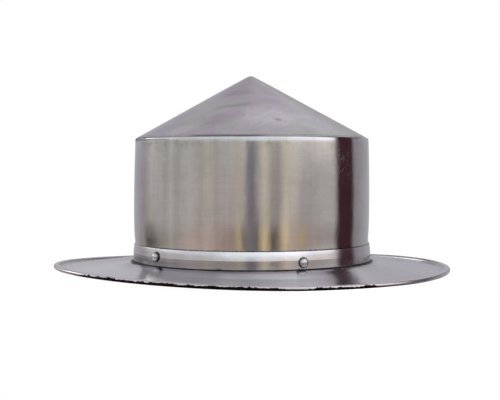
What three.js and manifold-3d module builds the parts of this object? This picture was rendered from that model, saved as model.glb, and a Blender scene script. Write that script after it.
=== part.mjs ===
// Kettle hat (chapel de fer) of sheet steel: conical top plate, slightly oval drum, and a
// round brim riveted on by its turned-up collar. Millimetres, +Z up. The wearer looks along -Y.
// The hat rests by itself on its rolled rim: z = 0 is the surface under it, and x = y = 0 is
// the middle of the brim.
import * as THREE from 'three';
import { mergeVertices } from 'three/addons/utils/BufferGeometryUtils.js';
import Module from 'manifold-3d';

// Sheet and clearances
const sheet = 1.5;            // thickness of every plate
const gap = 0.3;              // clearance between separate pieces

// Crown
const crownWidth = 213.5;     // outside width across the widest part of the drum
const crownDepth = 245;       // outside depth, front to back, at the same height
const barrelling = 1.1;       // how far the ends of the drum stand in from its widest part
const bulgeHeight = 0.3;      // where it is widest, as a share of the drum above the collar
const shoulderHeight = 120.4; // sharp corner between drum and cone
const shoulderRadius = 2;     // outer radius that rounds this corner
const coneRise = 58.8;         // cone's straight flanks meet this far above the shoulder
const tipRadius = 5.5;        // rounding of the cone's point
const tipDrift = -1.4;        // the point was hammered slightly to the wearer's right
const lapWidth = 5;           // part of the drum's edge that lies under the cone
const seamInset = 0.9;        // flush part of the shoulder between its bend and the seam

// Brim
const brimDiameter = 358;    // over the rolled rim
const creaseHeight = 10.9;    // sharp bend between brim plate and collar
const collarHeight = 15.5;    // collar above that crease
const bevelHeight = 7.6;      // filed upper part of the collar's outer face
const lipWall = 0.7;          // steel left at the collar's top edge
const rimWidth = 5.8;         // rolled edge, measured along the radius
const rimHeight = 3.8;        // rolled edge, measured upright
const hemSlit = 0.35;         // slit where the rolled edge comes back to the plate

// The brim is not quite flat: its rim dips twice and is higher on one side. Angles run from +X
// towards +Y, and the two low stretches are pressed flat where the hat stands on them.
const dipDepth = 2.2;
const sideLift = 1.26;
const waveTurn = 22;
const pressedDepth = 0.35;

// Rivets: angle from the middle of the front towards +X, and height as a share of the collar
const rivetHead = 8.4;
const rivetDome = 2.9;
const rivetShank = 5;
const rivetTail = 7;
const tailDome = 1.5;
const rivets = [
  { turn: 23, up: 0.40 },
  { turn: 100, up: 0.47 },
  { turn: 167, up: 0.50 },
  { turn: 239, up: 0.46 },
  { turn: 311, up: 0.54 },
];

// Facets
const sides = 72;             // round the crown and the brim
const rivetSides = 14;

// Sizes that follow from these
const degrees = Math.PI / 180;
const drumEnd = crownWidth / 2 - barrelling;
const ovalness = (crownDepth - crownWidth) / 2;
const coneFoot = drumEnd;
const coneSlope = Math.atan2(coneRise, coneFoot);
const apexHeight = shoulderHeight + coneRise;
const collarInner = drumEnd + gap;
const collarOuter = collarInner + sheet;
const collarTop = creaseHeight + collarHeight;
const drumFoot = creaseHeight - sheet;
const rimRadius = brimDiameter / 2;
const hemRadius = rimRadius - rimWidth;
const lowest = dipDepth - pressedDepth;
const facetSag = (crownDepth / 2) * (1 - Math.cos(Math.PI / sides));

const steel = { color: 0x9d9a9f, roughness: 0.3, metalness: 1 };

function material(changes = {}) {
  return new THREE.MeshStandardMaterial({ ...steel, ...changes });
}

// A point moved along a direction in the radius-height plane of a profile
function step(point, angle, length) {
  return new THREE.Vector2(
    point.x + length * Math.cos(angle),
    point.y + length * Math.sin(angle),
  );
}

// Points of an arc, both ends included
function arc(centre, radius, from, to, count) {
  const points = [];
  for (let i = 0; i <= count; i += 1) {
    points.push(step(centre, from + ((to - from) * i) / count, radius));
  }
  return points;
}

// A line of points moved sideways by a distance, to the left when positive, with mitred corners
function offsetLine(line, distance) {
  return line.map((point, i) => {
    const before = line[Math.max(i - 1, 0)];
    const after = line[Math.min(i + 1, line.length - 1)];
    const into = i > 0 ? point.clone().sub(before) : after.clone().sub(point);
    const out = i < line.length - 1 ? after.clone().sub(point) : into.clone();
    into.normalize();
    out.normalize();
    const across = into.clone().add(out).normalize();
    const mitre = distance / across.dot(into);
    return new THREE.Vector2(point.x - across.y * mitre, point.y + across.x * mitre);
  });
}

// Closed outline turned round the upright axis, then moved point by point by place(r, z, angle)
function turned(outline, place) {
  const geometry = new THREE.LatheGeometry(outline, sides);
  geometry.rotateX(Math.PI / 2);
  const position = geometry.attributes.position;
  for (let i = 0; i < position.count; i += 1) {
    const r = Math.hypot(position.getX(i), position.getY(i));
    const angle = r > 0 ? Math.atan2(position.getY(i), position.getX(i)) : 0;
    position.setXYZ(i, ...place(r, position.getZ(i), angle));
  }
  geometry.deleteAttribute('normal');
  geometry.deleteAttribute('uv');
  return mergeVertices(geometry, 1e-5);
}

// Place on an oval that is deeper than wide by twice the stretch
function onOval(r, z, angle, stretch) {
  return [r * Math.cos(angle), (r + stretch) * Math.sin(angle), z];
}

// Share of the cone's rise that is still above a height: 1 at the shoulder, 0 at the point
function belowPoint(z) {
  return Math.min(1, Math.max(0, (apexHeight - z) / coneRise));
}

// Height of the rim's underside above the surface, all round
function rimLift(angle) {
  const turn = angle - waveTurn * degrees;
  return Math.max(0, dipDepth * Math.cos(2 * turn) - sideLift * Math.cos(turn) + lowest);
}

// Outer radius of the drum's wall: straight inside the collar, barrelled above it
function drumRadius(z) {
  const share = (z - collarTop) / (shoulderHeight - collarTop);
  const reach = share < bulgeHeight ? bulgeHeight : 1 - bulgeHeight;
  const off = Math.min(1, Math.abs(share - bulgeHeight) / reach);
  return crownWidth / 2 - barrelling * off * off;
}

// Steel plate over the head: straight flanks, rounded point, thickness of the sheet
function coneGeometry() {
  const flank = Math.PI - coneSlope;
  const corner = new THREE.Vector2(coneFoot, shoulderHeight);
  const bend = shoulderRadius * Math.tan((Math.PI / 2 - coneSlope) / 2);
  const edge = step(corner, flank, bend + seamInset + gap);
  const drop = sheet / Math.cos(coneSlope);
  const capTop = apexHeight - tipRadius * (1 / Math.cos(coneSlope) - 1);
  const capCentre = new THREE.Vector2(0, capTop - tipRadius);
  const cap = arc(capCentre, tipRadius, Math.PI / 2 - coneSlope, Math.PI / 2, 4);
  cap[cap.length - 1].x = 0;
  const middle = edge.clone().lerp(cap[0], 0.5);
  const outline = [
    new THREE.Vector2(0, apexHeight - drop),
    step(middle, flank + Math.PI / 2, sheet),
    step(edge, flank + Math.PI / 2, sheet),
    edge,
    middle,
    ...cap,
  ];
  return turned(outline, (r, z, angle) => {
    const share = belowPoint(z);
    const [x, y] = onOval(r, z, angle, r > 0 ? ovalness * share : 0);
    return [x + tipDrift * (1 - share), y, z];
  });
}

// Wall of the crown: foot inside the collar, barrelled wall, shoulder, and lap under the cone
function drumGeometry() {
  const wall = [];
  const straightTop = collarTop + 2;
  const shoulderFoot = shoulderHeight - shoulderRadius * Math.tan((Math.PI / 2 - coneSlope) / 2);
  wall.push(new THREE.Vector2(drumEnd - sheet / 2, drumFoot));
  const bands = 5;
  for (let i = 0; i < bands; i += 1) {
    const z = straightTop + ((shoulderFoot - straightTop) * i) / bands;
    wall.push(new THREE.Vector2(drumRadius(z) - sheet / 2, z));
  }
  const bendRadius = shoulderRadius - sheet / 2;
  const bendCentre = new THREE.Vector2(drumEnd - shoulderRadius, shoulderFoot);
  const turn = Math.PI / 2 - coneSlope;
  wall.push(...arc(bendCentre, bendRadius, 0, turn, 3));
  const flank = Math.PI - coneSlope;
  const flush = step(wall[wall.length - 1], flank, seamInset - sheet / 2);
  const under = step(flush, flank + Math.PI / 2, sheet + gap);
  wall.push(flush, under, step(under, flank, lapWidth));
  const inner = offsetLine(wall, sheet / 2);
  const outer = offsetLine(wall, -sheet / 2);
  const outline = [...outer, ...inner.reverse()];
  outline.push(outline[0].clone());
  return turned(outline, (r, z, angle) => {
    const share = belowPoint(z);
    const [x, y] = onOval(r, z, angle, ovalness * share);
    return [x + tipDrift * (1 - share), y, z];
  });
}

// Brim: bevelled collar, crease, sloping plate and rolled rim, all one sheet
function brimGeometry() {
  const bend = rimHeight / 2;
  const rollCentre = new THREE.Vector2(rimRadius - bend, bend);
  const hemEnd = new THREE.Vector2(hemRadius, 1.5 * sheet + hemSlit);
  const line = [
    new THREE.Vector2(collarInner + sheet / 2, collarTop),
    new THREE.Vector2(collarInner + sheet / 2, creaseHeight - sheet / 2),
    new THREE.Vector2(hemRadius, sheet / 2),
    ...arc(rollCentre, bend - sheet / 2, -Math.PI / 2, Math.PI / 2, 7),
    hemEnd,
  ];
  const upper = offsetLine(line, sheet / 2);
  const lower = offsetLine(line, -sheet / 2);
  const lip = new THREE.Vector2(collarInner + lipWall, collarTop);
  const bevelFoot = new THREE.Vector2(collarOuter, collarTop - bevelHeight);
  const outline = [...lower, ...upper.slice(1).reverse(), bevelFoot, lip];
  outline.push(outline[0].clone());
  return turned(outline, (r, z, angle) => {
    const share = Math.min(1, Math.max(0, (r - collarOuter) / (hemRadius - collarOuter)));
    const lift = rimLift(angle) * share;
    return onOval(r, z + lift, angle, ovalness * (1 - share));
  });
}

// Place of a rivet: on the collar's outer face, with +Z along the outward normal
function rivetPlace({ turn, up }) {
  const angle = (turn - 90) * degrees;
  const z = creaseHeight + up * collarHeight;
  const [x, y] = onOval(collarOuter, z, angle, ovalness);
  const normal = new THREE.Vector3((collarOuter + ovalness) * Math.cos(angle), collarOuter * Math.sin(angle), 0);
  const turned = new THREE.Quaternion().setFromUnitVectors(new THREE.Vector3(0, 0, 1), normal.normalize());
  return { position: new THREE.Vector3(x, y, z), quaternion: turned };
}

// Domed head outside, shank through collar and drum, peened tail inside
function rivetGeometry() {
  const head = rivetHead / 2;
  const dome = (head * head + rivetDome * rivetDome) / (2 * rivetDome);
  const reach = Math.asin(Math.min(1, head / dome));
  const domeCentre = new THREE.Vector2(0, gap + rivetDome - dome);
  const cap = arc(domeCentre, dome, Math.PI / 2 - reach, Math.PI / 2, 5);
  cap[cap.length - 1].x = 0;
  const tail = rivetTail / 2;
  const tailFace = -(2 * sheet + 2 * gap + facetSag);
  const outline = [
    new THREE.Vector2(0, tailFace - tailDome),
    new THREE.Vector2(tail * 0.62, tailFace - tailDome),
    new THREE.Vector2(tail, tailFace - tailDome * 0.4),
    new THREE.Vector2(tail, tailFace),
    new THREE.Vector2(rivetShank / 2, tailFace),
    new THREE.Vector2(rivetShank / 2, gap),
    ...cap,
  ];
  const geometry = new THREE.LatheGeometry(outline, rivetSides);
  geometry.rotateX(Math.PI / 2);
  return geometry;
}

// Cutter for a rivet hole through both plates
function holeGeometry(place) {
  const length = 6 * sheet;
  const geometry = new THREE.CylinderGeometry(rivetShank / 2 + gap, rivetShank / 2 + gap, length, rivetSides);
  geometry.rotateX(Math.PI / 2);
  geometry.translate(0, 0, -sheet - gap / 2);
  geometry.applyQuaternion(place.quaternion);
  geometry.translate(place.position.x, place.position.y, place.position.z);
  return geometry;
}

const wasm = await Module();
wasm.setup();

function solid(geometry) {
  const bare = geometry.clone();
  bare.deleteAttribute('normal');
  bare.deleteAttribute('uv');
  const merged = mergeVertices(bare, 1e-5);
  return new wasm.Manifold(new wasm.Mesh({
    numProp: 3,
    vertProperties: new Float32Array(merged.attributes.position.array),
    triVerts: new Uint32Array(merged.index.array),
  }));
}

function cut(geometry, cutters) {
  let body = solid(geometry);
  for (const cutter of cutters) {
    body = body.subtract(solid(cutter));
  }
  const mesh = body.getMesh();
  const result = new THREE.BufferGeometry();
  result.setAttribute('position', new THREE.BufferAttribute(new Float32Array(mesh.vertProperties), 3));
  result.setIndex(new THREE.BufferAttribute(new Uint32Array(mesh.triVerts), 1));
  return result;
}

function piece(name, geometry, look) {
  geometry.computeVertexNormals();
  const mesh = new THREE.Mesh(geometry, look);
  mesh.name = name;
  return mesh;
}

const hat = new THREE.Group();
const places = rivets.map(rivetPlace);
const holes = places.map(holeGeometry);

hat.add(piece('crown_cone', coneGeometry(), material()));
hat.add(piece('crown_drum', cut(drumGeometry(), holes), material({ color: 0x94908f })));
hat.add(piece('brim', cut(brimGeometry(), holes), material({ color: 0x98979c })));
places.forEach((place, i) => {
  const rivet = piece(`rivet_${i + 1}`, rivetGeometry(), material({ color: 0x8d8c90, roughness: 0.38 }));
  rivet.position.copy(place.position);
  rivet.quaternion.copy(place.quaternion);
  hat.add(rivet);
});

export default hat;
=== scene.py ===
import math

import bpy
import numpy as np
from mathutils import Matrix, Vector


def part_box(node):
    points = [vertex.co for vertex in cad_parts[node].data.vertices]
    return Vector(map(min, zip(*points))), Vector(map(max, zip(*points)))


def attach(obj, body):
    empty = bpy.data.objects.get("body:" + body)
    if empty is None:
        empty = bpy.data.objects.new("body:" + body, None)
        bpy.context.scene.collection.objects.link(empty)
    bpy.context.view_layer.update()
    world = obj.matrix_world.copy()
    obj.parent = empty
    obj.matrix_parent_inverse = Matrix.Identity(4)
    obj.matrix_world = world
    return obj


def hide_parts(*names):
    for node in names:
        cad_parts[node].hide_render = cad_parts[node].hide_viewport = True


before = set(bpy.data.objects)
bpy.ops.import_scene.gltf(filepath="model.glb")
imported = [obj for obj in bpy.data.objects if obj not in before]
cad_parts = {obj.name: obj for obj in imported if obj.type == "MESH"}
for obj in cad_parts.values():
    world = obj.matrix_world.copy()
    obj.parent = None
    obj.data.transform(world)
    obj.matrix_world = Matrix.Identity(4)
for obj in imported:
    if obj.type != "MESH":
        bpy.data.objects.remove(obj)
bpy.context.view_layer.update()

_, drum_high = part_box("crown_drum")
_, brim_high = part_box("brim")

# Sheet
SHEET = 0.0015
GAP = 0.0003
CUT_EDGE = 0.0003
FILED_EDGE = 0.00015

# Crown
BARRELLING = 0.0011
BULGE_HEIGHT = 0.3
SHOULDER_HEIGHT = 0.1204
SHOULDER_RADIUS = 0.002
CONE_RISE = 0.0588
LAP_WIDTH = 0.005
SEAM_INSET = 0.0009
CROWN_HALF_WIDTH = 0.10675
DRUM_END = CROWN_HALF_WIDTH - BARRELLING
OVALNESS = drum_high.y - drum_high.x
CONE_SLOPE = math.atan2(CONE_RISE, DRUM_END)
APEX_HEIGHT = SHOULDER_HEIGHT + CONE_RISE
BEND_REACH = SHOULDER_RADIUS * math.tan((math.pi / 2 - CONE_SLOPE) / 2)

# How the hammer left the crown: point drifted and blunted, flanks a little hollow, drum leaning
TIP_DRIFT = -0.0009
TIP_ROUNDING = 0.001
FLANK_HOLLOW = 0.0005
DRUM_LEAN = 0.0003
DRUM_DENTS = 0.00012
BRIM_DENTS = 0.0003
DENT_FADE = 0.006
CONE_DENTS = 0.0015

# Brim
RIM_RADIUS = brim_high.x
COLLAR_TOP = brim_high.z
CREASE_HEIGHT = 0.0109
BEVEL_HEIGHT = 0.0076
LIP_WALL = 0.0007
RIM_WIDTH = 0.0058
RIM_HEIGHT = 0.0038
HEM_LEAN = 0.0004
COLLAR_INNER = DRUM_END + GAP
COLLAR_OUTER = COLLAR_INNER + SHEET
HEM_RADIUS = RIM_RADIUS - RIM_WIDTH
DRUM_FOOT = CREASE_HEIGHT - SHEET

# Radii of the brim's corners, from the collar's inner edge round the underside to its lip
BRIM_CORNERS = {
    "collar edge": 0.0002,
    "inner crease": 0.0016,
    "underside": 0.006,
    "hem top": 0.0012,
    "hem foot": 0.0004,
    "crease": 0.0006,
    "bevel foot": 0.0008,
    "lip": 0.0004,
}

# Points of the brim below this height lie on its underside
UNDERSIDE_HEIGHT = 0.0012

# Edge of the cone plate, where it meets the drum's shoulder
SEAM_RUN = (BEND_REACH + SEAM_INSET + GAP) * math.cos(CONE_SLOPE)
SEAM_HEIGHT = SHOULDER_HEIGHT + SEAM_RUN * math.tan(CONE_SLOPE)

# The rim's two dips, its higher side, and the stretches pressed flat where the hat stands
DIP_DEPTH = 0.0022
SIDE_LIFT = 0.00126
WAVE_TURN = math.radians(22)
PRESSED_DEPTH = 0.00035

# Rivets: turn from the middle of the front towards +X in degrees, height as a share of the collar
RIVET_HEAD = 0.0084
RIVET_DOME = 0.0029
RIVET_SHANK = 0.005
RIVET_TAIL = 0.007
TAIL_DOME = 0.0015
RIVET_WEAR = 0.025
RIVETS = {
    "rivet_1": (23, 0.40),
    "rivet_2": (100, 0.47),
    "rivet_3": (167, 0.50),
    "rivet_4": (239, 0.46),
    "rivet_5": (311, 0.54),
}

# How finely the visual pieces are made
SIDES = 360
LONGEST_STEP = 0.004
WALL_ROWS = 24
BEND_STEPS = 8
ROLL_STEPS = 18
CORNER_POINTS = 6
CORNER_ROOM = 0.49
SHARP_CORNER = math.radians(40)


# Plates turned from an outline

def step(point, angle, length):
    """A point moved along a direction in the radius-height plane."""
    return (point[0] + length * math.cos(angle), point[1] + length * math.sin(angle))


def arc(centre, radius, start, end, count):
    """Points of an arc, both ends included."""
    return [step(centre, start + (end - start) * i / count, radius) for i in range(count + 1)]


def offset_line(line, distance):
    """A line moved sideways, to the left when the distance is positive, with mitred corners."""
    points = np.array(line, float)
    heading = np.diff(points, axis=0)
    heading /= np.linalg.norm(heading, axis=1)[:, None]
    into = np.vstack([heading[:1], heading])
    out = np.vstack([heading, heading[-1:]])
    across = into + out
    across /= np.linalg.norm(across, axis=1)[:, None]
    mitre = distance / (across * into).sum(1)
    moved = points + np.stack([-across[:, 1], across[:, 0]], 1) * mitre[:, None]
    return [tuple(p) for p in moved]


def softened(outline, radii):
    """The closed outline with its corners rounded: radii maps a corner's number to its radius."""
    soft = []
    for i, corner in enumerate(outline):
        point = np.array(corner)
        if i not in radii:
            soft.append(point)
            continue
        back = np.array(outline[i - 1]) - point
        ahead = np.array(outline[(i + 1) % len(outline)]) - point
        room = CORNER_ROOM * min(np.linalg.norm(back), np.linalg.norm(ahead))
        back /= np.linalg.norm(back)
        ahead /= np.linalg.norm(ahead)
        half = math.acos(float(back @ ahead)) / 2
        reach = min(radii[i] / math.tan(half), room)
        for t in np.linspace(0, 1, CORNER_POINTS):
            soft.append(point + reach * (back * (1 - t) ** 2 + ahead * t ** 2))
    return soft


def divided(outline, longest=LONGEST_STEP):
    """The closed outline with its long stretches cut into steps."""
    points = []
    for i, point in enumerate(outline):
        ahead = np.array(outline[(i + 1) % len(outline)])
        point = np.array(point)
        count = max(1, math.ceil(np.linalg.norm(ahead - point) / longest))
        points += [point + (ahead - point) * k / count for k in range(count)]
    return points


def turned_plate(name, outline, place, notes):
    """A closed outline turned round the upright axis by place(r, z, angle), as a smooth mesh.

    notes maps a vertex attribute's name to the function of r, z and angle that fills it.
    """
    points = np.array(divided(outline))
    rows = len(points)
    turns = np.arange(SIDES) * 2 * math.pi / SIDES - math.pi / 2
    r = np.tile(points[:, 0], (SIDES, 1))
    z = np.tile(points[:, 1], (SIDES, 1))
    angle = np.tile(turns[:, None], (1, rows))
    here = np.arange(SIDES)[:, None] * rows
    beside = (np.arange(1, SIDES + 1) % SIDES)[:, None] * rows
    row = np.arange(rows)[None, :]
    onward = (np.arange(1, rows + 1) % rows)[None, :]
    faces = np.stack([here + row, beside + row, beside + onward, here + onward], -1)
    mesh = bpy.data.meshes.new(name)
    mesh.from_pydata(place(r, z, angle).reshape(-1, 3).tolist(), [], faces.reshape(-1, 4).tolist())
    for note, value in notes.items():
        attribute = mesh.attributes.new(note, "FLOAT", "POINT")
        attribute.data.foreach_set("value", value(r, z, angle).ravel().astype(np.float32))
    mesh.polygons.foreach_set("use_smooth", [True] * len(mesh.polygons))
    mesh.set_sharp_from_angle(angle=SHARP_CORNER)
    plate = bpy.data.objects.new(name, mesh)
    bpy.context.scene.collection.objects.link(plate)
    return plate


def on_oval(r, z, angle, stretch):
    """Places on an oval that is deeper than wide by twice the stretch."""
    return np.stack([r * np.cos(angle), (r + stretch) * np.sin(angle), z], -1)


def below_point(z):
    """Share of the cone's rise still above a height: 1 at the shoulder, 0 at the point."""
    return np.clip((APEX_HEIGHT - z) / CONE_RISE, 0, 1)


def rim_lift(angle):
    """Height of the rim's underside above the surface the hat stands on."""
    turn = angle - WAVE_TURN
    wave = DIP_DEPTH * np.cos(2 * turn) - SIDE_LIFT * np.cos(turn)
    return np.maximum(0, wave + DIP_DEPTH - PRESSED_DEPTH)


def unevenness(angle, height):
    """Hand-worked sheet is never quite true: a slow ripple between -1 and 0."""
    slow = np.cos(5 * angle + 40 * height) + np.cos(9 * angle - 55 * height + 1.3)
    quick = np.cos(17 * angle + 90 * height + 0.4) * 0.4 + np.cos(29 * angle + 2.1) * 0.2
    return (slow + quick) / 5.2 - 0.5


def drum_radius(z):
    """Outer radius of the drum's wall: straight inside the collar, barrelled above it."""
    share = (z - COLLAR_TOP) / (SHOULDER_HEIGHT - COLLAR_TOP)
    reach = BULGE_HEIGHT if share < BULGE_HEIGHT else 1 - BULGE_HEIGHT
    off = min(1, abs(share - BULGE_HEIGHT) / reach)
    return CROWN_HALF_WIDTH - BARRELLING * off * off


def drum_plate():
    """Wall of the crown: foot inside the collar, barrelled wall, shoulder, lap under the cone."""
    wall_start = COLLAR_TOP + 0.002
    shoulder_foot = SHOULDER_HEIGHT - BEND_REACH
    wall = [(DRUM_END - SHEET / 2, DRUM_FOOT)]
    for z in np.linspace(wall_start, shoulder_foot, WALL_ROWS, endpoint=False):
        wall.append((drum_radius(z) - SHEET / 2, z))
    bend_centre = (DRUM_END - SHOULDER_RADIUS, shoulder_foot)
    wall += arc(bend_centre, SHOULDER_RADIUS - SHEET / 2, 0, math.pi / 2 - CONE_SLOPE, BEND_STEPS)
    flank = math.pi - CONE_SLOPE
    flush = step(wall[-1], flank, SEAM_INSET - SHEET / 2)
    under = step(flush, flank + math.pi / 2, SHEET + GAP)
    wall += [flush, under, step(under, flank, LAP_WIDTH)]
    outer = offset_line(wall, -SHEET / 2)
    inner = offset_line(wall, SHEET / 2)
    outline = outer + inner[::-1]
    flush_corner = len(outer) - 3
    soft = {0: CUT_EDGE, flush_corner: FILED_EDGE, len(outline) - 1: CUT_EDGE}

    def place(r, z, angle):
        share = below_point(z)
        above = np.clip((z - COLLAR_TOP) / DENT_FADE, 0, 1)
        held = above * np.clip((SHOULDER_HEIGHT - z) / DENT_FADE, 0, 1)
        upward = (z - COLLAR_TOP) / (SHOULDER_HEIGHT - COLLAR_TOP) * 2 - 1
        r = r + DRUM_DENTS * held * unevenness(angle, z)
        places = on_oval(r, z, angle, OVALNESS * share)
        places[..., 0] += TIP_DRIFT * (1 - share) + DRUM_LEAN * held * (upward - 0.5)
        return places

    return turned_plate("drum_plate", softened(outline, soft), place, {})


def crease_distance(r, z, angle):
    """Distance from the brim's crease."""
    return np.hypot(r - COLLAR_OUTER, z - CREASE_HEIGHT)


def rim_share(r, z, angle):
    """How far up the rolled rim a point lies: 0 at its foot, 1 at its top and on the plate."""
    return np.where(r < HEM_RADIUS - 0.0005, 1.0, z / RIM_HEIGHT)


def hem_distance(r, z, angle):
    """Distance from the rim's inner edge, with 10 mm added on the underside."""
    return np.abs(r - HEM_RADIUS) + np.where(z < UNDERSIDE_HEIGHT, 0.01, 0)


def brim_plate():
    """Bevelled collar, crease, sloping plate and rolled rim, all one sheet."""
    bend = RIM_HEIGHT / 2
    plate = [
        (COLLAR_INNER + SHEET / 2, COLLAR_TOP),
        (COLLAR_INNER + SHEET / 2, CREASE_HEIGHT - SHEET / 2),
        (HEM_RADIUS, SHEET / 2),
    ]
    roll = arc((RIM_RADIUS - bend, bend), bend, -math.pi / 2, math.pi / 2, ROLL_STEPS)
    lower = offset_line(plate, -SHEET / 2)[:2] + [(HEM_RADIUS, 0)] + roll
    hem_top = (HEM_RADIUS + HEM_LEAN, RIM_HEIGHT)
    hem_foot = (HEM_RADIUS, SHEET)
    upper = offset_line(plate, SHEET / 2)
    crease = upper[1]
    bevel_foot = (COLLAR_OUTER, COLLAR_TOP - BEVEL_HEIGHT)
    lip = (COLLAR_INNER + LIP_WALL, COLLAR_TOP)
    outline = lower + [hem_top, hem_foot, crease, bevel_foot, lip]
    numbers = [0, 1, 2, *range(len(lower), len(outline))]
    soft = dict(zip(numbers, BRIM_CORNERS.values()))

    def place(r, z, angle):
        share = np.clip((r - COLLAR_OUTER) / (HEM_RADIUS - COLLAR_OUTER), 0, 1)
        free = 4 * share * (1 - share)
        z = z + rim_lift(angle) * share + BRIM_DENTS * free * unevenness(angle, r)
        return on_oval(r, z, angle, OVALNESS * (1 - share))

    notes = {"from_crease": crease_distance, "up_the_rim": rim_share, "from_hem": hem_distance}
    return turned_plate("brim_plate", softened(outline, soft), place, notes)


# Nodes

class Wire:
    """A node's output that can be used in sums: each operator adds a Math node."""

    def __init__(self, nodes, socket):
        self.nodes = nodes
        self.socket = socket

    def sum(self, operation, *values):
        return self.nodes.add("ShaderNodeMath", {"operation": operation}, dict(enumerate(values)))

    def __add__(self, other):
        return self.sum("ADD", self, other)

    def __radd__(self, other):
        return self.sum("ADD", other, self)

    def __sub__(self, other):
        return self.sum("SUBTRACT", self, other)

    def __rsub__(self, other):
        return self.sum("SUBTRACT", other, self)

    def __mul__(self, other):
        return self.sum("MULTIPLY", self, other)

    def __rmul__(self, other):
        return self.sum("MULTIPLY", other, self)

    def __truediv__(self, other):
        return self.sum("DIVIDE", self, other)

    def __rtruediv__(self, other):
        return self.sum("DIVIDE", other, self)

    def __neg__(self):
        return self.sum("MULTIPLY", self, -1)

    def __pow__(self, other):
        return self.sum("POWER", self, other)

    def __rpow__(self, other):
        return self.sum("POWER", other, self)

    def __lt__(self, other):
        return self.sum("LESS_THAN", self, other)

    def __abs__(self):
        return self.sum("ABSOLUTE", self)

    def highest(self, other):
        return self.sum("MAXIMUM", self, other)

    def lowest(self, other):
        return self.sum("MINIMUM", self, other)


class Nodes:
    """A node tree, filled by one method."""

    def __init__(self, tree):
        self.tree = tree
        tree.nodes.clear()

    def add(self, kind, settings=None, sockets=None, output=0):
        """Adds a node. Settings are set first, then the values or links of its sockets."""
        node = self.tree.nodes.new(kind)
        for name, value in (settings or {}).items():
            if name == "stops":
                self.fill_ramp(node.color_ramp, value)
            else:
                setattr(node, name, value)
        for key, value in (sockets or {}).items():
            socket = self.find(node.inputs, key)
            if isinstance(value, Wire):
                self.tree.links.new(value.socket, socket)
            else:
                socket.default_value = value
        if not node.outputs:
            return node
        return Wire(self, self.find(node.outputs, output))

    @staticmethod
    def find(sockets, key):
        """The socket with that number, or the enabled one with that name."""
        if isinstance(key, int):
            return sockets[key]
        return next(s for s in sockets if s.name == key and s.enabled)

    @staticmethod
    def fill_ramp(ramp, stops):
        while len(ramp.elements) < len(stops):
            ramp.elements.new(1.0)
        for element, (position, colour) in zip(ramp.elements, stops):
            element.position = position
            element.color = (*colour, 1)

    def noise(self, place, scale, detail=3.0, roughness=0.5, distortion=0.0):
        """Soft noise between 0 and 1 on scaled coordinates, scale being one number per axis."""
        settings = {"operation": "MULTIPLY"}
        stretched = self.add("ShaderNodeVectorMath", settings, {0: place, 1: scale})
        return self.add("ShaderNodeTexNoise", {}, {
            "Vector": stretched, "Scale": 1.0, "Detail": detail,
            "Roughness": roughness, "Distortion": distortion})

    def between(self, value, low, high):
        """0 below low, 1 above high, and a smooth rise between them."""
        return self.add("ShaderNodeMapRange", {"interpolation_type": "SMOOTHSTEP"}, {
            "Value": value, "From Min": low, "From Max": high})

    def fade(self, value, low, high):
        """1 below low, 0 above high, and a smooth fall between them."""
        return 1 - self.between(value, low, high)

    def band(self, value, start, full, ebb, end):
        """1 between full and ebb, 0 before start and after end, smooth between them."""
        return self.between(value, start, full) * self.fade(value, ebb, end)

    def mix(self, share, first, second):
        """A colour between two, by share."""
        return self.add("ShaderNodeMix", {"data_type": "RGBA"}, {
            "Factor": share, "A": first, "B": second}, "Result")

    def distance(self, place, spot):
        """Distance between two places."""
        settings = {"operation": "DISTANCE"}
        return self.add("ShaderNodeVectorMath", settings, {0: place, 1: spot}, "Value")

    def join(self, x, y, z):
        """A place from its three coordinates."""
        return self.add("ShaderNodeCombineXYZ", {}, {"X": x, "Y": y, "Z": z})


# Finishes

POLISHED = (0.57, 0.56, 0.565, 1)
DULL = (0.42, 0.40, 0.405, 1)
LILAC = (0.50, 0.44, 0.51, 1)
GREENISH = (0.47, 0.48, 0.45, 1)
STRAW = (0.60, 0.53, 0.40, 1)
# Black and rusty scale; under the rolled rim they also stand for painted shadow
SOOT_AND_SHADOW = (0.010, 0.007, 0.007, 1)
RUST_AND_SHADOW = (0.045, 0.020, 0.016, 1)
SHADE = (0.10, 0.095, 0.10, 1)
# Smoke round the crease, with painted shade
SMOKE_AND_SHADE = (0.16, 0.16, 0.165, 1)

# Colours of single marks and stretches
OLIVE_DIRT = (0.20, 0.21, 0.17, 1)
SMUDGE_GREY = (0.36, 0.38, 0.34, 1)
BROWN_STAIN = (0.34, 0.27, 0.22, 1)
WELD_PINK = (0.66, 0.57, 0.56, 1)
SCRATCH_BRIGHT = (0.95, 0.90, 0.88, 1)
# Painted shade on the drum's shoulder at the left
SHOULDER_SHADE_GREY = (0.26, 0.26, 0.27, 1)
HIGH_GREY = (0.34, 0.32, 0.34, 1)
SPOT_GREY = (0.22, 0.22, 0.23, 1)
# Painted shade and duller steel at the collar's foot
FOOT_SHADE_GREY = (0.30, 0.30, 0.31, 1)
# Painted highlights and shade on the rolled rim
ROLL_HIGHLIGHT = (0.80, 0.73, 0.73, 1)
ROLL_SHADE = (0.16, 0.155, 0.16, 1)
ROLL_GLINT = (0.90, 0.88, 0.90, 1)
# A painted sheen on the plate near the crown
PLATE_SHEEN = (0.78, 0.79, 0.78, 1)
WORN_PLATE = (0.38, 0.385, 0.39, 1)
DOME_LIGHT = (0.55, 0.56, 0.57, 1)
DOME_DARK = (0.36, 0.36, 0.38, 1)

# Where single marks lie
DIRTY_PATCH = (-0.087, -0.070, 0.038)
SMALL_SMUDGE = (0.052, -0.105, 0.074)
RUBBED_SPOT = (0.078, -0.074, 0.100)
WELD_X = -0.0325
CONE_SPOT = (0.0215, -0.087, 0.1345)

# Curves too slight for the plates, raised by the finish. The drum's shoulder falls away by the
# square of the height above its foot times its softness. The brim bends up towards the collar.
SHOULDER_SOFTNESS = 4.5
SOFT_FOOT = SHOULDER_HEIGHT - 0.0052
BEND_DEPTH = 0.0060
BEND_WIDTH = 0.022

# How far below the cone's edge the painted shade line under it lies
SEAM_DROP = 0.0008

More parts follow.
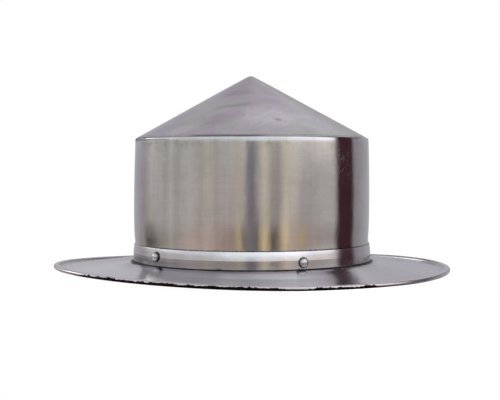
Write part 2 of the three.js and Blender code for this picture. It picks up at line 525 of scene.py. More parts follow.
# Stains on the cone: where, how far they reach up and sideways, their colour and their strength
CONE_STAINS = [
    ((0.012, -0.084, 0.1385), 0.022, 1.4, (0.72, 0.71, 0.73, 1), 0.55),
    ((-0.060, -0.086, 0.1270), 0.010, 1.8, (0.68, 0.69, 0.66, 1), 0.55),
    ((0.050, -0.074, 0.1330), 0.016, 1.5, (0.66, 0.66, 0.69, 1), 0.45),
    ((-0.024, -0.084, 0.1365), 0.013, 1.4, (0.44, 0.35, 0.45, 1), 0.55),
    ((-0.016, -0.061, 0.1475), 0.006, 3.6, (0.30, 0.30, 0.30, 1), 0.60),
    ((-0.010, -0.036, 0.1605), 0.008, 1.6, (0.36, 0.28, 0.37, 1), 0.60),
    ((0.016, -0.052, 0.1520), 0.008, 2.2, (0.42, 0.36, 0.42, 1), 0.50),
]


class SteelFinish(Nodes):
    """Polished sheet steel with grain, tints and dark scale, ending in one shader."""

    def __init__(self, name):
        self.material = bpy.data.materials.new(name)
        self.material.use_nodes = True
        super().__init__(self.material.node_tree)
        self.place = self.add("ShaderNodeTexCoord", {}, {}, "Object")
        self.x, self.y, self.z = (
            self.add("ShaderNodeSeparateXYZ", {}, {"Vector": self.place}, axis) for axis in "XYZ")

    def note(self, name):
        """A vertex attribute of the plate."""
        return self.add("ShaderNodeAttribute", {"attribute_name": name}, {}, "Fac")

    def near(self, spot, inside, outside):
        """1 within the inner distance of a spot, 0 beyond the outer one."""
        return self.fade(self.distance(self.place, spot), inside, outside)

    def front(self):
        """1 on the front of the brim, 0 at its sides and back."""
        return self.fade(self.y, -0.09, -0.03)

    def seam_shadow(self):
        """How dark the painted shade in the seam under the cone is: black left of the middle of the
        front.
        """
        return 0.25 + 0.65 * self.band(self.x, -0.055, -0.045, 0.0, 0.02)

    def scratches(self, rise, scale, rarity):
        """Fine straight scratches: rise is how steeply they climb along the wall."""
        turn = self.add("ShaderNodeMath", {"operation": "ARCTAN2"}, {0: self.x, 1: -self.y})
        length = turn * CROWN_HALF_WIDTH
        along = length + self.z * rise
        across = self.z - length * rise
        lines = self.noise(self.join(along, across, 0.0), (scale, scale * 26, 0), 2, 0.5)
        return self.between(lines, rarity, rarity + 0.08)

    def finish(self, colour, roughness, relief, anisotropy):
        """The shader: relief is the height of the surface in metres."""
        bumps = self.add("ShaderNodeBump", {}, {"Strength": 1.0, "Distance": 1.0, "Height": relief})
        shader = self.add("ShaderNodeBsdfPrincipled", {}, {
            "Base Color": colour, "Roughness": roughness, "Metallic": 1.0, "Normal": bumps,
            "Anisotropic": anisotropy, "Anisotropic Rotation": 0.25})
        self.add("ShaderNodeOutputMaterial", {}, {"Surface": shader})
        return self.material


def drum_tarnish(f, cloud, streaks, grain):
    """The drum's polish: green, lilac and straw tarnish, dull streaks and fine grain."""
    wide = f.noise(f.place, (45, 45, 9), 2, 0.5, 0.5)
    low = f.fade(f.z, COLLAR_TOP, COLLAR_TOP + 0.035)
    tint = f.mix(f.between(cloud, 0.38, 0.62) * 0.65, POLISHED, GREENISH)
    tint = f.mix(f.between(wide, 0.5, 0.7) * 0.30, tint, LILAC)
    tint = f.mix(low * f.between(wide, 0.4, 0.65) * 0.25, tint, STRAW)
    tint = f.mix(f.between(streaks, 0.42, 0.72) * 0.28, tint, DULL)
    return f.mix(f.between(grain, 0.42, 0.60) * 0.15, tint, DULL)


def drum_stains(f, tint, cloud, streaks, patch):
    """A dirty patch, a smudge, brown stains under the shoulder, and a pale upright weld."""
    smudge = f.between(f.noise(f.place, (120, 120, 120), 4, 0.6), 0.48, 0.62)
    tint = f.mix(patch * (0.40 + smudge * 0.15), tint, OLIVE_DIRT)
    tint = f.mix(f.near(SMALL_SMUDGE, 0.004, 0.016) * smudge * 0.30, tint, SMUDGE_GREY)
    below = SHOULDER_HEIGHT - f.z
    under = f.band(below, 0.0019, 0.0039, 0.0044, 0.0124)
    tint = f.mix(under * smudge * f.between(cloud, 0.45, 0.6) * 0.5, tint, BROWN_STAIN)
    off_weld = abs(f.x - WELD_X + (streaks - 0.5) * 0.001)
    weld = f.fade(off_weld, 0.0002, 0.0008) * (f.y < 0)
    return f.mix(weld * 0.30, tint, WELD_PINK)


def drum_finish():
    """Drum: grain round the wall, streaks, tarnish, a weld, fine scratches, dirt and painted shade at its
    edges.
    """
    f = SteelFinish("drum_steel_finish")
    grain = f.noise(f.place, (22, 22, 950), 3, 0.6)
    brushed = f.noise(f.place, (60, 60, 420), 3, 0.6, 0.4)
    streaks = f.noise(f.place, (170, 170, 6), 3, 0.6, 0.3)
    cloud = f.noise(f.place, (24, 24, 30), 4, 0.6, 0.8)
    speck = f.noise(f.place, (420, 420, 420), 2)
    patch = f.near(DIRTY_PATCH, 0.005, 0.016)
    tint = drum_tarnish(f, cloud, streaks, grain * 0.5 + brushed * 0.5)
    tint = drum_stains(f, tint, cloud, streaks, patch)
    scratch = f.scratches(1.6, 60, 0.56) * f.near(RUBBED_SPOT, 0.008, 0.030)
    tint = f.mix(scratch * 0.3, tint, SCRATCH_BRIGHT)

    # Painted shade dims the shoulder's bend on the left
    corner = f.between(f.z, SHOULDER_HEIGHT - 0.0032, SHOULDER_HEIGHT - 0.0020)
    corner = corner * f.fade(f.x, -0.090, -0.064)
    tip = f.fade(f.x, -0.101, -0.092)
    tint = f.mix(corner * (0.6 + tip * 0.4), tint, SHOULDER_SHADE_GREY)
    # Painted shade in the seam under the cone and at the foot above the collar, with specks of dirt in
    # the dirty patch
    seam = f.fade(abs(f.z - SEAM_HEIGHT + SEAM_DROP) - speck * 0.0005, 0.0001, 0.0005)
    foot = f.fade(f.z - COLLAR_TOP + (speck - 0.5) * 0.0016, 0.0003, 0.0011)
    foot = foot * f.between(f.x, -0.104, -0.090)
    dirt = f.between(speck, 0.70, 0.76) * patch
    dark = (seam * f.seam_shadow()).highest(foot * 0.8).highest(dirt * 0.85)
    tint = f.mix(dark, tint, SHADE)

    ripple = f.noise(f.place, (34, 34, 16), 3, 0.6)
    relief = grain * 0.000010 + streaks * 0.000012 + ripple * 0.00020 + brushed * 0.000008
    relief = relief - (f.z - SOFT_FOOT).highest(0.0) ** 2 * SHOULDER_SOFTNESS
    rough = 0.06 + cloud * 0.03 + grain * 0.03 + scratch * 0.22 + corner * tip * 0.4
    return f.finish(tint, rough, relief, 0.6)


def stained(f, tint, stain, cloud, fine):
    """A cloudy stain on the cone, wider than high, that climbs a little to the right."""
    (x, y, z), reach, wide, colour, strength = stain
    climb = (f.x - x) * 0.12
    away = (((f.x - x) / wide) ** 2 + (f.y - y) ** 2 + (f.z - z - climb) ** 2) ** 0.5
    away = away + (cloud - 0.5) * reach * 2.2 + (fine - 0.5) * reach * 0.4
    return f.mix(f.fade(away, reach * 0.35, reach * 1.25) * strength, tint, colour)


def cone_finish():
    """Cone: duller, cloudy with lilac and olive tarnish, darker to the point, one dark spot."""
    f = SteelFinish("cone_steel_finish")
    grain = f.noise(f.place, (60, 60, 500), 2)
    cloud = f.noise(f.place, (30, 30, 60), 3, 0.6, 0.8)
    patch = f.noise(f.place, (17, 20, 30), 3, 0.5, 0.5)
    fine = f.noise(f.join(f.x + f.z * 1.5, f.y, f.z - f.x * 0.5), (70, 70, 300), 2, 0.6, 0.6)
    high = f.between(f.z, SHOULDER_HEIGHT + 0.02, APEX_HEIGHT - 0.008)

    tint = f.mix(f.between(patch, 0.36, 0.60), GREENISH, LILAC)
    tint = f.mix(f.between(cloud, 0.42, 0.62) * 0.6, tint, POLISHED)
    for stain in CONE_STAINS:
        tint = stained(f, tint, stain, cloud, fine)
    dark = (high * 0.35 + f.fade(cloud, 0.32, 0.46) * 0.35).lowest(1.0)
    tint = f.mix(dark, tint, HIGH_GREY)
    tint = f.mix(f.between(fine, 0.42, 0.66) * 0.24, tint, DULL)
    from_spot = f.distance(f.place, CONE_SPOT) + (fine - 0.5) * 0.003
    tint = f.mix(f.fade(from_spot, 0.0016, 0.0040) * 0.55, tint, SPOT_GREY)
    # Painted shade along the cone's lower edge at the seam
    edge = f.fade(f.z - SEAM_HEIGHT + (fine - 0.5) * 0.0008, 0.0003, 0.0010)
    tint = f.mix(edge * f.seam_shadow() * 0.4, tint, SHADE)

    relief = grain * 0.000008 + cloud * 0.00018 + fine * 0.000012
    return f.finish(tint, 0.22 + cloud * 0.14, relief, 0.2)


def collar_foot(f, tint, collar, slow):
    """Painted shade and duller steel on the collar below its bevel, most of all on the left."""
    bevel_foot = COLLAR_TOP - BEVEL_HEIGHT
    foot = collar * f.fade(f.z, bevel_foot - 0.0004, bevel_foot + 0.0002)
    left = f.fade(f.x, -0.02, 0.03) * 0.5
    far_left = f.fade(f.x, -0.100, -0.088) * 0.35
    return f.mix(foot * (left + far_left + slow * 0.4), tint, FOOT_SHADE_GREY)


def rolled_rim(f, tint, roll, lit):
    """Painted highlights on the rolled rim in front and at the back left, painted shade at its back
    right.
    """
    back = f.between(f.y, 0.0, 0.06)
    far_right = f.between(f.x, 0.120, 0.150)
    tint = f.mix(roll * f.front() * 0.6, tint, ROLL_HIGHLIGHT)
    tint = f.mix(roll * back * far_right * 0.8, tint, ROLL_SHADE)
    return f.mix(lit, tint, ROLL_GLINT)


def plate_sheen_and_wear(f, tint, from_crease, roll):
    """The plate in front: a painted sheen in a band near the crown, worn dull outside it."""
    sheen_band = f.band(from_crease, 0.006, 0.013, 0.028, 0.038)
    sheen_band = sheen_band * f.band(f.x, -0.035, -0.018, 0.036, 0.052)
    tint = f.mix(sheen_band * f.front() * 0.7, tint, PLATE_SHEEN)
    worn = f.between(from_crease, 0.026, 0.036) * (1 - roll)
    worn = worn * f.band(f.x, -0.075, -0.040, 0.050, 0.080)
    return f.mix(worn * f.front() * 0.7, tint, WORN_PLATE)


def crease_sides(f):
    """Where the crease's halo of smoke and painted shade is widest: at the two sides, less so on the
    right.
    """
    sides = f.between(abs(f.x + 0.01), 0.07, 0.10) * f.fade(f.y, -0.050, -0.020)
    return sides * (1 - 0.6 * f.between(f.x, 0.0, 0.02))


def rim_scale_and_shadow(f, up_the_rim, slow, ragged):
    """Ragged scale and painted shadow from the rim's foot upwards, thin in one place, gone at both ends.
    """
    thin = f.band(f.x, 0.024, 0.030, 0.046, 0.052)
    ends = f.between(abs(f.x + 0.02), 0.112, 0.130)
    reach = 0.66 - thin * 0.36 - ends * 0.60 + (slow - 0.5) * 0.5 + (ragged - 0.5) * 0.9
    return f.fade(up_the_rim - reach, -0.03, 0.03)


def edge_lines(f, tint, ragged):
    """Painted shade in lines along the rim's inner edge in front and along the collar's top."""
    hem = f.fade(f.note("from_hem"), 0.0001, 0.0006) * f.front()
    lip = f.between(f.z + (ragged - 0.5) * 0.0012, COLLAR_TOP - 0.0004, COLLAR_TOP)
    lip = lip * f.between(f.x, -0.104, -0.090)
    return f.mix((hem * 0.45).highest(lip * 0.7), tint, SHADE)


def rivet_rings(f):
    """Painted shade: a dark ring on the collar round each rivet's head."""
    seats = [f.distance(f.place, rivet_seat(turn, up)) for turn, up in RIVETS.values()]
    nearest = seats[0]
    for seat in seats[1:]:
        nearest = nearest.lowest(seat)
    return f.fade(nearest, RIVET_HEAD / 2 + 0.0001, RIVET_HEAD / 2 + 0.0009)


def brim_curves(f, from_crease, collar):
    """Relief of the plate: dimples left by the hammer near the crease, and the bend."""
    dimples = f.noise(f.place, (75, 110, 75), 3, 0.6)
    hammered = f.fade(from_crease, 0.005, 0.035) * (1 + 4 * f.between(abs(f.x), 0.09, 0.11))
    bend = BEND_DEPTH * (math.e ** (from_crease / -BEND_WIDTH)) * (1 - collar)
    return dimples * hammered * 0.00008 + bend


def brim_finish():
    """Brim: satin plate with painted shade and sheen, black scale in the crease, scale and painted shadow
    under the rim.
    """
    f = SteelFinish("brim_steel_finish")
    from_crease = f.note("from_crease")
    up_the_rim = f.note("up_the_rim")
    grain = f.noise(f.place, (260, 260, 260), 3)
    cloud = f.noise(f.place, (20, 20, 20), 3)
    ragged = f.noise(f.place, (330, 330, 330), 3, 0.7)
    slow = f.noise(f.place, (60, 60, 60), 2)
    collar = f.between(f.z, CREASE_HEIGHT, CREASE_HEIGHT + 0.001)
    tint = f.mix(f.between(cloud, 0.35, 0.65) * 0.3, POLISHED, LILAC)
    tint = collar_foot(f, tint, collar, slow)

    # A halo of smoke and painted shade round the crease
    sides = crease_sides(f)
    off = from_crease * (1 + collar * 2.5) - (ragged - 0.5) * 0.0040
    halo = f.fade(off - (slow - 0.5) * 0.008, 0.0, 0.005 + sides * 0.022)
    tint = f.mix(halo * (0.20 + sides * 0.60), tint, SMOKE_AND_SHADE)
    crease = f.fade(off - (slow - 0.5) * 0.004, 0.0012 + sides * 0.0022, 0.0034 + sides * 0.0028)
    specks = f.between(ragged, 0.58, 0.64) * f.fade(off, 0.004, 0.008) * (f.y < 0)

    # Where the roll's painted highlights and shade go; lit is its painted glint at the back left
    roll = f.band(up_the_rim, 0.45, 0.75, 0.985, 1.0)
    lit = roll * f.between(f.y, 0.0, 0.06) * f.fade(f.x, -0.090, -0.060)
    tint = rolled_rim(f, tint, roll, lit)
    tint = plate_sheen_and_wear(f, tint, from_crease, roll)
    tint = edge_lines(f, tint, ragged)
    # Ragged scale with painted shadow under the rolled rim, black scale in and near the crease
    scale = rim_scale_and_shadow(f, up_the_rim, slow, ragged)
    black = (crease * 0.92).highest(specks * 0.7).highest(scale)
    tint = f.mix(black, tint, f.mix(f.between(ragged, 0.5, 0.66), SOOT_AND_SHADOW, RUST_AND_SHADOW))
    tint = f.mix(rivet_rings(f) * 0.8, tint, SHADE)

    relief = grain * 0.000006 + slow * 0.00006 + black * 0.00006
    relief = relief + brim_curves(f, from_crease, collar)
    close = f.fade(from_crease, 0.004, 0.022)
    rough = 0.17 + cloud * 0.06 + black * 0.4 + halo * 0.05 + roll * 0.1 - close * 0.07 + lit * 0.4
    return f.finish(tint, rough, relief, 0.2)


def rivet_finish():
    """Rivets: dull polished domes, with painted shade round their edges."""
    f = SteelFinish("rivet_steel_finish")
    grain = f.noise(f.place, (500, 500, 500), 3)
    cloud = f.noise(f.place, (160, 160, 160), 2)
    out = f.note("out_from_middle")
    tint = f.mix(f.between(cloud, 0.4, 0.7) * 0.4, DOME_LIGHT, DOME_DARK)
    # Painted shade round the dome's edge
    tint = f.mix(f.between(out + (grain - 0.5) * 0.2, 0.72, 0.98) * 0.9, tint, SHADE)
    return f.finish(tint, 0.2 + grain * 0.12, grain * 0.00003, 0.0)


# Pieces grown by rules

class Rule(Nodes):
    """A geometry node tree with named sizes, run on a mesh and turned into a plain piece."""

    def __init__(self, name, sizes):
        tree = bpy.data.node_groups.new(name, "GeometryNodeTree")
        tree.interface.new_socket("Geometry", in_out="INPUT", socket_type="NodeSocketGeometry")
        tree.interface.new_socket("Geometry", in_out="OUTPUT", socket_type="NodeSocketGeometry")
        self.identifiers = {}
        for size, value in sizes.items():
            kind = "NodeSocketInt" if isinstance(value, int) else "NodeSocketFloat"
            socket = tree.interface.new_socket(size, in_out="INPUT", socket_type=kind)
            self.identifiers[size] = socket.identifier
        self.sizes = sizes
        super().__init__(tree)
        self.entry = tree.nodes.new("NodeGroupInput")

    def size(self, name):
        """One of the named sizes, or the geometry that the rule is run on."""
        return Wire(self, self.entry.outputs[name])

    def position(self):
        """The three coordinates of each point."""
        place = self.add("GeometryNodeInputPosition")
        return [self.add("ShaderNodeSeparateXYZ", {}, {"Vector": place}, axis) for axis in "XYZ"]

    def end(self, geometry, material):
        """Instances made real, smooth, with their material."""
        real = self.add("GeometryNodeRealizeInstances", {}, {"Geometry": geometry})
        smooth = self.add("GeometryNodeSetShadeSmooth", {}, {"Geometry": real})
        done = self.add("GeometryNodeSetMaterial", {}, {"Geometry": smooth, "Material": material})
        self.add("NodeGroupOutput", {}, {"Geometry": done})

    def run(self, name, mesh, finishing=()):
        """The rule's result on a mesh, with finishing modifiers, as a plain mesh object."""
        piece = bpy.data.objects.new(name, mesh)
        bpy.context.scene.collection.objects.link(piece)
        modifier = piece.modifiers.new(name, "NODES")
        modifier.node_group = self.tree
        for size, value in self.sizes.items():
            modifier[self.identifiers[size]] = value
        for kind, settings in finishing:
            extra = piece.modifiers.new(kind.lower(), kind)
            for setting, value in settings.items():
                setattr(extra, setting, value)
        depsgraph = bpy.context.evaluated_depsgraph_get()
        result = bpy.data.meshes.new_from_object(piece.evaluated_get(depsgraph))
        piece.modifiers.clear()
        piece.data = result
        result.name = name
        return piece


def cone_plate(material):
    """The pointed plate: an oval cone, slightly hollow, its point rounded and off to one side."""
    rule = Rule("pointed_plate", {
        "Foot radius": DRUM_END - SEAM_RUN,
        "Point height": APEX_HEIGHT,
        "Rise": CONE_RISE,
        "Slope": math.tan(CONE_SLOPE),
        "Ovalness": OVALNESS,
        "Point rounding": TIP_ROUNDING,
        "Point drift": TIP_DRIFT,
        "Hollow": FLANK_HOLLOW,
        "Unevenness": CONE_DENTS,
        "Sides": SIDES,
        "Rings": 60,
    })
    flat = rule.add("GeometryNodeMeshCone", {"fill_type": "NONE"}, {
        "Vertices": rule.size("Sides"), "Side Segments": rule.size("Rings"),
        "Radius Top": 0.0, "Radius Bottom": rule.size("Foot radius"), "Depth": 0.05}, "Mesh")
    x, y, _ = rule.position()
    radius = (x * x + y * y) ** 0.5
    edge = radius / rule.size("Foot radius")
    fall = ((radius * rule.size("Slope")) ** 2 + rule.size("Point rounding") ** 2) ** 0.5
    ripple = (rule.noise(rule.join(x, y, 0.0), (28, 28, 0), 1) - 0.5) * edge
    right = x / radius * 0.5 + 0.5
    sag = rule.size("Hollow") * (1 - edge + right * edge * 1.5) + ripple * rule.size("Unevenness")
    height = rule.size("Point height") - fall - sag * (1 - edge)
    share = (rule.size("Point height") - height) / rule.size("Rise")
    wide = x + rule.size("Point drift") * (1 - share)
    deep = y + y / radius * share * rule.size("Ovalness")
    shaped = rule.add("GeometryNodeSetPosition", {}, {
        "Geometry": flat, "Position": rule.join(wide, deep, height)})
    rule.end(shaped, material)
    wall = {"thickness": SHEET, "offset": -1, "use_even_offset": True}
    edges = {"width": FILED_EDGE, "segments": 2, "limit_method": "ANGLE", "angle_limit": math.radians(50)}
    bare = bpy.data.meshes.new("cone_plate")
    return rule.run("cone_plate", bare, [("SOLIDIFY", wall), ("BEVEL", edges)])


def rivet_seat(turn, up):
    """Where a rivet sits on the collar's outer face."""
    angle = math.radians(turn - 90)
    z = CREASE_HEIGHT + up * (COLLAR_TOP - CREASE_HEIGHT)
    return tuple(float(v) for v in on_oval(COLLAR_OUTER, z, angle, OVALNESS))


def rivet_seats():
    """A point for each rivet, with the direction it faces."""
    faces = []
    for turn, _ in RIVETS.values():
        angle = math.radians(turn - 90)
        across = (COLLAR_OUTER + OVALNESS) * math.cos(angle)
        faces += Vector((across, COLLAR_OUTER * math.sin(angle), 0)).normalized()[:]
    mesh = bpy.data.meshes.new("rivet_seats")
    mesh.from_pydata([rivet_seat(turn, up) for turn, up in RIVETS.values()], [], [])
    outward = mesh.attributes.new("outward", "FLOAT_VECTOR", "POINT")
    outward.data.foreach_set("vector", faces)
    return mesh


def dome(rule, radius, height, base, up):
    """Half a ball on its base, up or down, that keeps how far out each of its points lies."""
    ball = rule.add("GeometryNodeMeshUVSphere", {}, {
        "Segments": 40, "Rings": 24, "Radius": 1.0}, "Mesh")
    x, y, z = rule.position()
    out = (x * x + y * y) ** 0.5
    marked = rule.add("GeometryNodeStoreNamedAttribute", {"data_type": "FLOAT", "domain": "POINT"}, {
        "Geometry": ball, "Name": "out_from_middle", "Value": out})
    lifted = (z * up).highest(0.0)
    spot = rule.join(x * radius, y * radius, base + lifted * height * up)
    return rule.add("GeometryNodeSetPosition", {}, {"Geometry": marked, "Position": spot})


def rivets(material):
    """Five rivets: a hammered dome outside, a shank, and a peened tail inside."""
    rule = Rule("domed_rivets", {
        "Head radius": RIVET_HEAD / 2,
        "Dome": RIVET_DOME,
        "Shank radius": RIVET_SHANK / 2,
        "Tail radius": RIVET_TAIL / 2,
        "Tail dome": TAIL_DOME,
        "Grip": 2 * SHEET + 2 * GAP,
        "Clearance": GAP,
        "Seed": 7,
    })
    head = dome(rule, rule.size("Head radius"), rule.size("Dome"), rule.size("Clearance"), 1)
    tail_base = -rule.size("Grip") - rule.size("Clearance")
    tail = dome(rule, rule.size("Tail radius"), rule.size("Tail dome"), tail_base, -1)
    length = rule.size("Grip") + 2 * rule.size("Clearance")
    shank = rule.add("GeometryNodeMeshCylinder", {}, {
        "Vertices": 32, "Radius": rule.size("Shank radius"), "Depth": length}, "Mesh")
    middle = rule.join(0.0, 0.0, rule.size("Clearance") - length / 2)
    shank = rule.add("GeometryNodeTransform", {}, {"Geometry": shank, "Translation": middle})
    join = rule.add("GeometryNodeJoinGeometry", {}, {"Geometry": head})
    for other in (shank, tail):
        rule.tree.links.new(other.socket, join.socket.node.inputs["Geometry"])
    outward = rule.add("GeometryNodeInputNamedAttribute", {"data_type": "FLOAT_VECTOR"}, {
        "Name": "outward"})
    facing = rule.add("FunctionNodeAlignRotationToVector", {"axis": "Z"}, {"Vector": outward})
    worn = rule.add("FunctionNodeRandomValue", {"data_type": "FLOAT"}, {
        "Min": 1 - RIVET_WEAR, "Max": 1.0, "Seed": rule.size("Seed")}, "Value")
    placed = rule.add("GeometryNodeInstanceOnPoints", {}, {
        "Points": rule.size("Geometry"), "Instance": join, "Rotation": facing, "Scale": worn})
    rule.end(placed, material)
    return rule.run("rivet_set", rivet_seats())


# Studio

# Tones of what the steel mirrors
TONES = {
    "sky": (0.94, 1.00, 1.09),
    "cool": (1.00, 1.00, 1.07),
    "grey": (1.05, 1.00, 0.97),
    "warm": (1.11, 1.00, 0.93),
    "mist": (1.00, 1.05, 1.03),
    "hay": (1.13, 1.00, 0.83),
    "lilac": (1.11, 1.00, 1.07),
    "rose": (1.24, 1.00, 0.90),
    "straw": (1.24, 1.00, 0.60),
}

# What stands round the hat, as the drum's wall shows it: turn from the front towards +X in
# degrees, then light and tone at the height of the wall, and light and tone nearer the floor
ROUND_THE_HAT = [
    (-180, 0.50, "cool", 0.50, "cool"),
    (-143, 0.46, "cool", 0.35, "lilac"),
    (-134, 0.40, "lilac", 0.35, "lilac"),
    (-127, 0.46, "grey", 0.17, "warm"),
    (-120, 0.60, "grey", 0.18, "warm"),
    (-108, 0.60, "grey", 0.34, "warm"),
    (-98, 0.53, "grey", 0.44, "warm"),
    (-91, 0.66, "grey", 0.53, "warm"),
    (-84, 0.55, "grey", 0.46, "warm"),
    (-68, 0.66, "grey", 0.56, "rose"),
    (-55, 0.54, "warm", 0.50, "rose"),
    (-47, 0.61, "warm", 0.58, "rose"),
    (-39, 0.54, "warm", 0.46, "rose"),
    (-28, 0.59, "grey", 0.42, "rose"),
    (-19, 0.58, "warm", 0.40, "rose"),
    (-13, 0.62, "hay", 0.60, "straw"),
    (-8, 0.57, "warm", 0.28, "rose"),
    (-3.5, 0.28, "lilac", 0.28, "lilac"),
    (1.5, 0.26, "lilac", 0.25, "lilac"),
    (5.5, 0.42, "lilac", 0.20, "rose"),
    (13, 0.74, "hay", 0.82, "straw"),
    (22, 0.48, "warm", 0.14, "rose"),
    (28, 0.46, "warm", 0.27, "rose"),
    (36, 0.73, "hay", 0.76, "straw"),
    (46, 0.66, "warm", 0.52, "rose"),
    (53, 0.55, "grey", 0.50, "straw"),
    (64, 0.53, "grey", 0.44, "rose"),
    (82, 0.66, "grey", 0.46, "warm"),
    (91, 0.62, "grey", 0.46, "warm"),
    (126, 0.36, "lilac", 0.36, "grey"),
    (146, 0.46, "cool", 0.42, "cool"),
    (180, 0.50, "cool", 0.50, "cool"),
]

# How much brighter the same things are just above the height of the wall: turn, gain, tone
ABOVE_THE_WALL = [
    (-180, 1.00, "grey"), (-125, 1.36, "mist"), (-104, 0.98, "mist"), (-70, 0.95, "mist"),
    (-50, 0.98, "mist"), (-28, 0.93, "mist"), (-10, 1.10, "mist"), (15, 1.14, "mist"),
    (36, 1.16, "mist"), (50, 1.46, "mist"), (65, 1.56, "grey"), (85, 1.44, "grey"),
    (126, 1.00, "cool"), (146, 1.06, "cool"), (180, 0.95, "cool"),
]

# The bright window band above that, and what is higher than the window: turn, light, tone
WINDOW = [
    (-180, 0.68, "cool"), (-136, 0.55, "cool"), (-132, 4.20, "grey"), (-120, 3.20, "cool"),
    (-107, 2.30, "cool"), (-92, 1.65, "cool"), (-74, 1.12, "sky"), (-55, 1.10, "sky"), (-30, 1.06, "sky"),
    (0, 1.22, "sky"), (25, 1.36, "sky"), (45, 1.46, "cool"), (65, 1.55, "cool"), (88, 1.85, "cool"),
    (126, 0.20, "lilac"), (140, 0.48, "cool"), (180, 0.56, "cool"),
]
OVER_THE_WINDOW = [
    (-180, 0.68, "cool"), (-170, 0.60, "cool"), (-160, 0.26, "cool"), (-140, 0.24, "cool"),
    (-118, 0.58, "cool"), (-79, 0.78, "cool"), (-60, 0.84, "cool"), (-42, 0.94, "cool"),
    (-25, 1.06, "cool"), (-5, 0.92, "cool"), (9, 1.04, "cool"), (20, 1.20, "cool"),
    (32, 1.30, "cool"), (48, 1.42, "cool"), (62, 1.46, "cool"), (78, 1.36, "cool"),
    (90, 1.20, "cool"), (126, 0.08, "lilac"), (140, 0.10, "cool"), (152, 0.16, "cool"),
    (165, 0.46, "cool"), (180, 0.68, "cool"),
]

# The blends from one of these to the next, from the ground up, in degrees above level
GROUND_RISE = (-40.0, -18.0)
WALL_RISE = (-8.0, -2.5)
BRIGHTER_RISE = (0.5, 4.0)
WINDOW_RISE = (5.0, 9.0)
OVER_WINDOW_RISE = (14.0, 17.5)
BACK_CEILING_RISE = (19.0, 30.0)
CEILING_RISE = (32.0, 55.0)

# Edges of the door: the turns that it lies between, and the rise of its foot
DOOR_LEFT = (91.0, 100.0)
DOOR_RIGHT = (117.0, 125.0)
DOOR_FOOT = (-17.0, -13.0)

# Colours of the door, the ground, the ceiling and the backdrop
DOOR = (0.072, 0.030, 0.040, 1)
DARK_GROUND = (0.08, 0.075, 0.075, 1)
CEILING_LEFT = (0.58, 0.56, 0.60, 1)
CEILING_RIGHT = (0.79, 0.78, 0.81, 1)
WHITE = (1, 1, 1, 1)

# Camera: place in metres, degrees below level, lens in millimetres
CAMERA_PLACE = (-0.00170, -1.079, 0.09735)
CAMERA_DROP = 1.722
LENS = 85.14

# Softbox and floor, in metres and watts. The floor lies a hair below the hat.
SOFTBOX_PLACE = (-0.15, -0.9, 1.3)
SOFTBOX_AIM = (0, 0, 0.05)
SOFTBOX_SIZE = 0.9
SOFTBOX_POWER = 30
FLOOR_RADIUS = 0.3
FLOOR_SIDES = 96
FLOOR_DROP = 0.0001
FLOOR_FADE = (0.19, 0.27)
PAPER = (0.15, 0.15, 0.15, 1)
PAPER_GLOW = (0.97, 0.97, 0.97, 1)


def ring(w, turned, entries):
    """Light all round the hat, from a table of turns, lights and tones."""
    stops = []
    for turn, light, tone in entries:
        stops.append((turn / 360 + 0.5, [light * share for share in TONES[tone]]))
    return w.add("ShaderNodeValToRGB", {"stops": stops}, {"Fac": turned / 360 + 0.5})


def walls(w, turned, rise):
    """What stands round the hat up to the top of the window, band over band."""
    wall = ring(w, turned, [(turn, light, tone) for turn, light, tone, _, _ in ROUND_THE_HAT])
    ground = ring(w, turned, [(turn, light, tone) for turn, _, _, light, tone in ROUND_THE_HAT])
    brighter = w.add("ShaderNodeMix", {"data_type": "RGBA", "blend_type": "MULTIPLY"}, {
        "Factor": 1.0, "A": wall, "B": ring(w, turned, ABOVE_THE_WALL)}, "Result")
    colour = w.mix(w.between(rise, *WALL_RISE), ground, wall)
    colour = w.mix(w.between(rise, *BRIGHTER_RISE), colour, brighter)
    colour = w.mix(w.between(rise, *WINDOW_RISE), colour, ring(w, turned, WINDOW))
    return w.mix(w.between(rise, *OVER_WINDOW_RISE), colour, ring(w, turned, OVER_THE_WINDOW))


def dark_door(w, turned, rise):
    """Share of the door: it leans to the right and widens above the window's height."""
    higher = w.between(rise, 18.0, 26.0)
    leaning = turned - 2 * w.between(rise, 15.0, 18.0) - 10 * higher
    door = w.between(leaning, *DOOR_LEFT) * w.fade(leaning - 8 * higher, *DOOR_RIGHT)
    return door * w.between(rise, *DOOR_FOOT)


def add_surroundings():
    """A pale studio as the steel sees it: backdrop, bright window, ceiling, one dark door."""
    world = bpy.data.worlds.new("studio")
    bpy.context.scene.world = world
    world.use_nodes = True
    w = Nodes(world.node_tree)
    way = w.add("ShaderNodeTexCoord", {}, {}, "Generated")
    x, y, z = (w.add("ShaderNodeSeparateXYZ", {}, {"Vector": way}, axis) for axis in "XYZ")
    turned = w.add("ShaderNodeMath", {"operation": "ARCTAN2"}, {0: x, 1: -y}) * (180 / math.pi)
    rise = w.add("ShaderNodeMath", {"operation": "ARCSINE"}, {0: z}) * (180 / math.pi)

    colour = walls(w, turned, rise)
    ceiling = w.mix(w.between(x, -0.3, 0.3), CEILING_LEFT, CEILING_RIGHT)
    behind = w.between(rise, *BACK_CEILING_RISE) * w.between(y, 0.3, 0.6)
    colour = w.mix(w.between(rise, *CEILING_RISE).highest(behind), colour, ceiling)
    colour = w.mix(dark_door(w, turned, rise), colour, DOOR)
    colour = w.mix(w.between(rise, *GROUND_RISE), DARK_GROUND, colour)
    seen = w.add("ShaderNodeLightPath", {}, {}, "Is Camera Ray")
    colour = w.mix(seen, colour, WHITE)
    sky = w.add("ShaderNodeBackground", {}, {"Color": colour, "Strength": 1.0})
    w.add("ShaderNodeOutputWorld", {}, {"Surface": sky})


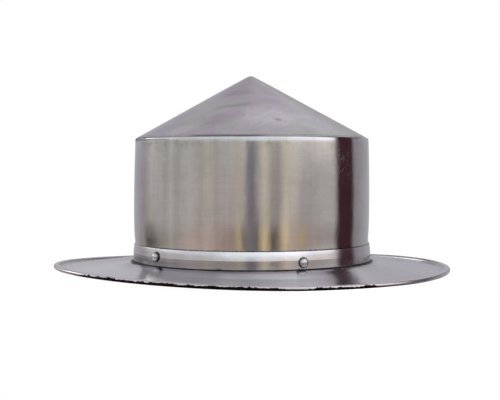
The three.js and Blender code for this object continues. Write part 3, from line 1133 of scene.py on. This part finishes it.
def add_camera():
    """The photograph's view: from the front, a little above the middle of the crown."""
    data = bpy.data.cameras.new("camera")
    data.sensor_fit = "HORIZONTAL"
    data.sensor_width = 36
    data.lens = LENS
    camera = bpy.data.objects.new("camera", data)
    camera.location = CAMERA_PLACE
    camera.rotation_euler = (math.radians(90 - CAMERA_DROP), 0, 0)
    bpy.context.scene.collection.objects.link(camera)
    bpy.context.scene.camera = camera


def add_softbox():
    """One large soft light, high in front; the steel itself mirrors only the surroundings."""
    data = bpy.data.lights.new("overhead_softbox", "AREA")
    data.shape = "DISK"
    data.size = SOFTBOX_SIZE
    data.energy = SOFTBOX_POWER
    light = bpy.data.objects.new("overhead_softbox", data)
    light.location = SOFTBOX_PLACE
    aim = Vector(SOFTBOX_AIM) - light.location
    light.rotation_euler = aim.to_track_quat("-Z", "Y").to_euler()
    light.visible_glossy = False
    bpy.context.scene.collection.objects.link(light)


def add_floor():
    """A pale round floor, lit from below like a light table, that fades out beyond the brim."""
    turns = np.linspace(0, 2 * math.pi, FLOOR_SIDES, endpoint=False)
    edge = [(FLOOR_RADIUS * math.cos(t), FLOOR_RADIUS * math.sin(t), -FLOOR_DROP) for t in turns]
    mesh = bpy.data.meshes.new("floor")
    mesh.from_pydata(edge, [], [list(range(len(edge)))])
    floor = bpy.data.objects.new("floor", mesh)
    floor.visible_glossy = False
    bpy.context.scene.collection.objects.link(floor)
    f = SteelFinish("floor_paper")
    radius = (f.x ** 2 + f.y ** 2) ** 0.5
    shader = f.add("ShaderNodeBsdfPrincipled", {}, {
        "Base Color": PAPER, "Roughness": 0.9,
        "Emission Color": PAPER_GLOW, "Emission Strength": 1.0,
        "Alpha": f.fade(radius, *FLOOR_FADE)})
    f.add("ShaderNodeOutputMaterial", {}, {"Surface": shader})
    mesh.materials.append(f.material)


def dress(piece, slot, *nodes):
    """A finished piece rides on the hat's one body and replaces its solids."""
    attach(piece, "root")
    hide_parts(*nodes)


def main():
    bpy.context.scene.view_settings.view_transform = "Standard"
    add_camera()
    add_surroundings()
    add_softbox()
    add_floor()
    drum = drum_plate()
    drum.data.materials.append(drum_finish())
    dress(drum, "drum_steel", "crown_drum")
    dress(cone_plate(cone_finish()), "cone_steel", "crown_cone")
    brim = brim_plate()
    brim.data.materials.append(brim_finish())
    dress(brim, "brim_steel", "brim")
    dress(rivets(rivet_finish()), "rivet_steel", *RIVETS)


main()
